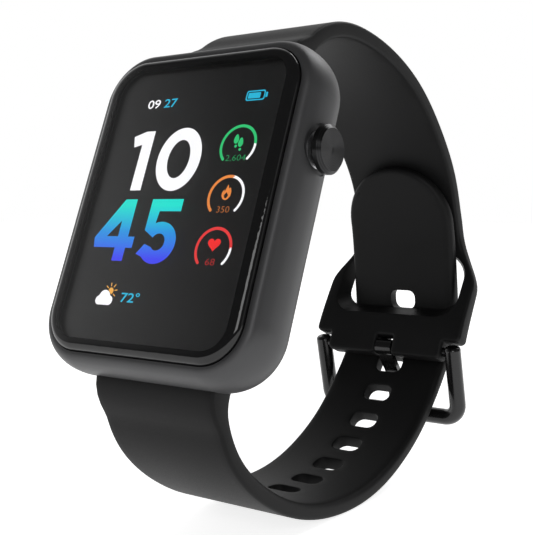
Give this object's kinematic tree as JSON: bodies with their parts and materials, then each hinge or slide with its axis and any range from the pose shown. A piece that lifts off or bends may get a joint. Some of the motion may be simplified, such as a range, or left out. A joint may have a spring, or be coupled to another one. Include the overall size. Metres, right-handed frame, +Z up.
{
  "type": "smartwatch",
  "caption": "Rectangular smartwatch with a rounded metal case, side button and a closed silicone band with a window keeper and wire buckle.",
  "frame": {"origin": "bottom centre of the bounding box, under the lowest part of the closed band", "axes": "+X to the button side and along the wrist, +Z up, -Y towards the side the screen faces, the screen leaning back by 21.4 degrees"},
  "size_m": [0.0368, 0.0722, 0.0692],
  "materials": {
    "case_metal": "satin dark grey anodised",
    "button_metal": "turned satin dark grey",
    "buckle_metal": "glossy black",
    "silicone": "soft matt black",
    "glass": "polished",
    "display": "dark glossy screen",
    "film": "smooth",
    "flex": "amber film",
    "gasket": "matt",
    "tape": "matt",
    "chassis_metal": "pressed",
    "board": "solder mask",
    "chip": "moulded",
    "battery_foil": "foil",
    "steel": "plain",
    "brass": "turned",
    "contact_gold": "polished",
    "magnet": "plated",
    "back_plastic": "fine matt",
    "sensor_glass": "polished dark",
    "led": "clear lens"
  },
  "bodies": {
    "case": {"case_housing": "case_metal", "cover_glass": "glass", "glass_gasket": "gasket", "touch_sensor": "film", "display_panel": "display", "display_flex": "flex", "inner_chassis": "chassis_metal", "main_board": "board", "processor_chip": "chip", "memory_chip": "chip", "radio_chip": "chip", "motion_sensor": "chip", "battery": "battery_foil", "battery_tape": "tape", "vibration_motor": "steel", "side_switch": "chip", "button_bush": "brass", "back_cover": "back_plastic", "back_gasket": "gasket", "sensor_window": "sensor_glass", "sensor_board": "board", "green_led_1": "led", "green_led_2": "led", "photodiode": "chip", "charge_pin_1": "contact_gold", "charge_pin_2": "contact_gold", "charge_magnet_1": "magnet", "charge_magnet_2": "magnet", "case_screw_1": "steel", "case_screw_2": "steel", "case_screw_3": "steel", "case_screw_4": "steel", "button_spring": "steel"},
    "button": {"button_cap": "button_metal", "button_stem": "steel", "button_oring": "gasket", "button_clip": "steel"},
    "upper_band": {"upper_strap": "silicone", "upper_bar_tube": "steel", "upper_bar_spring": "steel", "buckle_pin": "buckle_metal"},
    "lower_band": {"lower_strap": "silicone", "lower_bar_tube": "steel", "lower_bar_spring": "steel"},
    "upper_plain_tip": {"upper_bar_plain_tip": "steel"},
    "upper_release_tip": {"upper_bar_release_tip": "steel"},
    "lower_plain_tip": {"lower_bar_plain_tip": "steel"},
    "lower_release_tip": {"lower_bar_release_tip": "steel"},
    "frame": {"buckle_frame": "buckle_metal"},
    "tongue": {"buckle_tongue": "buckle_metal"}
  },
  "joints": [
    {"name": "button_press", "type": "slide", "parent": "case", "child": "button", "axis": [-1, 0, 0], "range_m": [0, 0.0005], "stiffness_N_per_m": 1500, "springref_m": -0.0004, "deforming": ["button_spring"]},
    {"name": "upper_band_swing", "type": "hinge", "parent": "case", "child": "upper_band", "pos_m": [0, -0.0148, 0.06103], "axis": [1, 0, 0], "range_deg": [0, 0.3]},
    {"name": "lower_band_swing", "type": "hinge", "parent": "case", "child": "lower_band", "pos_m": [0, -0.02979, 0.02277], "axis": [1, 0, 0], "range_deg": [-0.3, 0]},
    {"name": "frame_swing", "type": "hinge", "parent": "upper_band", "child": "frame", "pos_m": [0, 0.02618, 0.01979], "axis": [1, 0, 0], "range_deg": [-10, 0]},
    {"name": "tongue_swing", "type": "hinge", "parent": "upper_band", "child": "tongue", "pos_m": [0, 0.02618, 0.01979], "axis": [1, 0, 0], "range_deg": [0, 5]},
    {"name": "upper_plain_tip_slide", "type": "slide", "parent": "upper_band", "child": "upper_plain_tip", "axis": [1, 0, 0], "range_m": [0, 0.0013], "stiffness_N_per_m": 300, "springref_m": -0.001},
    {"name": "upper_release_tip_slide", "type": "slide", "parent": "upper_band", "child": "upper_release_tip", "axis": [-1, 0, 0], "range_m": [0, 0.0013], "stiffness_N_per_m": 300, "springref_m": -0.001, "deforming": ["upper_bar_spring"]},
    {"name": "lower_plain_tip_slide", "type": "slide", "parent": "lower_band", "child": "lower_plain_tip", "axis": [1, 0, 0], "range_m": [0, 0.0013], "stiffness_N_per_m": 300, "springref_m": -0.001},
    {"name": "lower_release_tip_slide", "type": "slide", "parent": "lower_band", "child": "lower_release_tip", "axis": [-1, 0, 0], "range_m": [0, 0.0013], "stiffness_N_per_m": 300, "springref_m": -0.001, "deforming": ["lower_bar_spring"]}
  ],
  "couplings": [
    {"joint": "lower_band_swing", "follows": "upper_band_swing", "ratio": -1}
  ]
}
